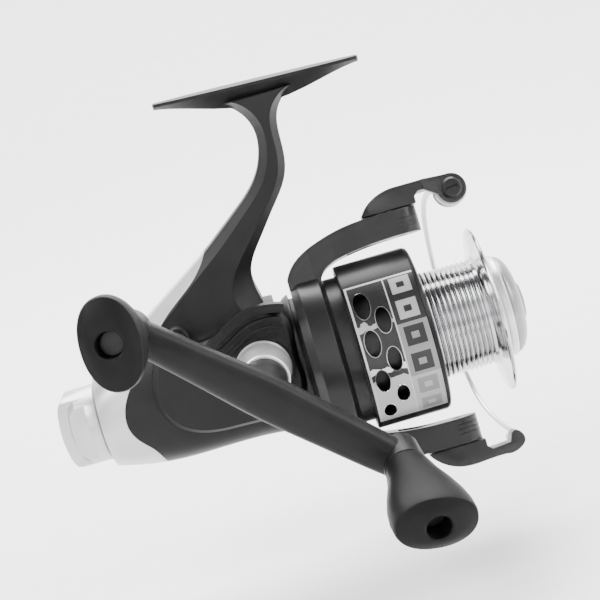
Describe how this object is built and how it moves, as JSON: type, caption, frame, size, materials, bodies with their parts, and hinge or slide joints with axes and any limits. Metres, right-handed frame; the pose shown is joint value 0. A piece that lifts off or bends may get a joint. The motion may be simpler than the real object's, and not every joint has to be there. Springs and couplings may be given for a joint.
{
  "type": "spinning reel",
  "caption": "Fixed-spool spinning reel with rear drag dial, folding wire bail, ribbed bright spool in a pierced black skirt and a double handle with paddle knobs.",
  "frame": {"origin": "middle of the flat top of the foot, where it meets the rod", "axes": "+X along the spool axis towards the front of the spool, +Z from the body up to the rod, the handle on the -Y side"},
  "size_m": [0.1485, 0.1364, 0.1339],
  "materials": {
    "black_casing": "satin moulded black",
    "black_handle": "satin black paint on a cast arm",
    "black_rotor": "satin moulded black",
    "black_skirt": "glossy moulded black",
    "black_screw": "blackened steel",
    "knob_grip": "satin moulded grip",
    "silver_paint": "fine silver paint",
    "silver_knob": "satin silver paint",
    "satin_cap": "satin silver",
    "chrome": "bright plated",
    "spool_chrome": "bright plated, turned",
    "wire_steel": "polished stainless wire",
    "steel": "machined steel",
    "bearing_steel": "ground bearing steel",
    "brass": "machined brass",
    "zinc_gear": "die-cast zinc",
    "white_gear": "moulded acetal",
    "fibre_disc": "pressed fibre",
    "label_foil": "printed foil"
  },
  "bodies": {
    "root": {"body_housing": "black_casing", "rear_cover": "silver_paint", "side_cover": "black_casing", "side_cover_screws": "black_screw", "rear_cover_screws": "steel", "guide_rods": "steel", "osc_axle": "steel", "crank_bearing_near": "bearing_steel", "crank_bearing_far": "bearing_steel", "pinion_bush": "brass", "pinion_bearing": "bearing_steel", "clutch_race": "steel", "clutch_rollers": "steel", "drag_cup": "zinc_gear", "drag_discs_fixed": "fibre_disc", "pressure_plate": "steel", "drag_spring": "steel"},
    "crank": {"drive_shaft": "steel", "drive_gear": "zinc_gear", "osc_pinion": "brass", "crank_collar": "chrome", "handle_arm": "black_handle", "far_cap": "black_casing", "knob_spindle_rear": "black_screw", "knob_spindle_front": "black_screw"},
    "knob_rear": {"knob_rear": "knob_grip"},
    "knob_front": {"knob_front": "knob_grip"},
    "osc_gear": {"osc_gear": "white_gear"},
    "slider": {"slider": "brass"},
    "rotor": {"rotor": "black_rotor", "pinion": "brass", "clutch_sleeve": "steel", "rotor_nut": "steel", "arm_covers": "black_rotor", "bail_spring": "steel"},
    "bail": {"bail_lever_upper": "black_rotor", "bail_lever_lower": "black_rotor", "bail_wire": "wire_steel", "wire_ferrule": "wire_steel", "roller_cone": "black_rotor", "roller_bush": "white_gear", "roller_screw": "black_screw", "pivot_screws": "black_screw"},
    "line_roller": {"line_roller": "chrome"},
    "spool": {"spool": "spool_chrome", "spool_skirt": "black_skirt", "spool_label": "label_foil", "spool_ring": "chrome", "spool_cap": "satin_cap", "main_shaft": "steel", "shaft_clips": "steel", "click_gear": "white_gear", "button_spring": "steel"},
    "spool_button": {"spool_button": "satin_cap"},
    "drag_sleeve": {"drag_sleeve": "brass", "drag_discs_keyed": "steel"},
    "drag_knob": {"drag_knob": "silver_knob"},
    "drag_nut": {"drag_nut": "brass"},
    "switch_lever": {"switch_lever": "black_casing"}
  },
  "joints": [
    {"name": "crank_turn", "type": "hinge", "parent": "root", "child": "crank", "pos_m": [-0.0213, 0, -0.0815], "axis": [0, 1, 0], "continuous": true},
    {"name": "knob_rear_turn", "type": "hinge", "parent": "crank", "child": "knob_rear", "pos_m": [-0.05275, -0.0562, -0.05217], "axis": [-0.0298, -0.9888, 0.1461], "continuous": true},
    {"name": "knob_front_turn", "type": "hinge", "parent": "crank", "child": "knob_front", "pos_m": [0.01015, -0.0562, -0.11083], "axis": [0.095, -0.9635, -0.2504], "continuous": true},
    {"name": "rotor_turn", "type": "hinge", "parent": "root", "child": "rotor", "pos_m": [-0.0213, 0, -0.088], "axis": [1, 0, 0], "continuous": true},
    {"name": "osc_gear_turn", "type": "hinge", "parent": "root", "child": "osc_gear", "pos_m": [-0.0365, 0, -0.0815], "axis": [0, 1, 0], "continuous": true},
    {"name": "slider_stroke", "type": "slide", "parent": "root", "child": "slider", "axis": [1, 0, 0], "range_m": [0, 0.015]},
    {"name": "spool_slip", "type": "hinge", "parent": "slider", "child": "spool", "pos_m": [-0.0213, 0, -0.088], "axis": [1, 0, 0], "continuous": true},
    {"name": "drag_sleeve_slip", "type": "hinge", "parent": "root", "child": "drag_sleeve", "pos_m": [-0.0563, 0, -0.088], "axis": [1, 0, 0], "continuous": true},
    {"name": "spool_button_press", "type": "slide", "parent": "spool", "child": "spool_button", "axis": [-1, 0, 0], "range_m": [0, 0.001], "stiffness_N_per_m": 400, "springref_m": -0.002, "deforming": ["button_spring"]},
    {"name": "bail_flip", "type": "hinge", "parent": "rotor", "child": "bail", "pos_m": [0.0312, 0, -0.088], "axis": [0, 0.2419, 0.9703], "range_deg": [-115, 0]},
    {"name": "line_roller_turn", "type": "hinge", "parent": "bail", "child": "line_roller", "pos_m": [0.0492, 0.00946, -0.05006], "axis": [0, 0.9703, -0.2419], "continuous": true},
    {"name": "drag_knob_turn", "type": "hinge", "parent": "root", "child": "drag_knob", "pos_m": [-0.0793, 0, -0.088], "axis": [1, 0, 0], "range_deg": [0, 720]},
    {"name": "drag_nut_travel", "type": "slide", "parent": "root", "child": "drag_nut", "axis": [1, 0, 0], "range_m": [0, 0.00145], "deforming": ["drag_spring"]},
    {"name": "switch_turn", "type": "hinge", "parent": "root", "child": "switch_lever", "pos_m": [-0.0213, 0.017, -0.098], "axis": [0, 1, 0], "range_deg": [0, 28]}
  ],
  "couplings": [
    {"joint": "rotor_turn", "follows": "crank_turn", "ratio": 4.4444},
    {"joint": "osc_gear_turn", "follows": "crank_turn", "ratio": -0.46154},
    {"joint": "drag_sleeve_slip", "follows": "spool_slip", "ratio": 1},
    {"joint": "drag_nut_travel", "follows": "drag_knob_turn", "m_per_rad": 0.00011141}
  ]
}
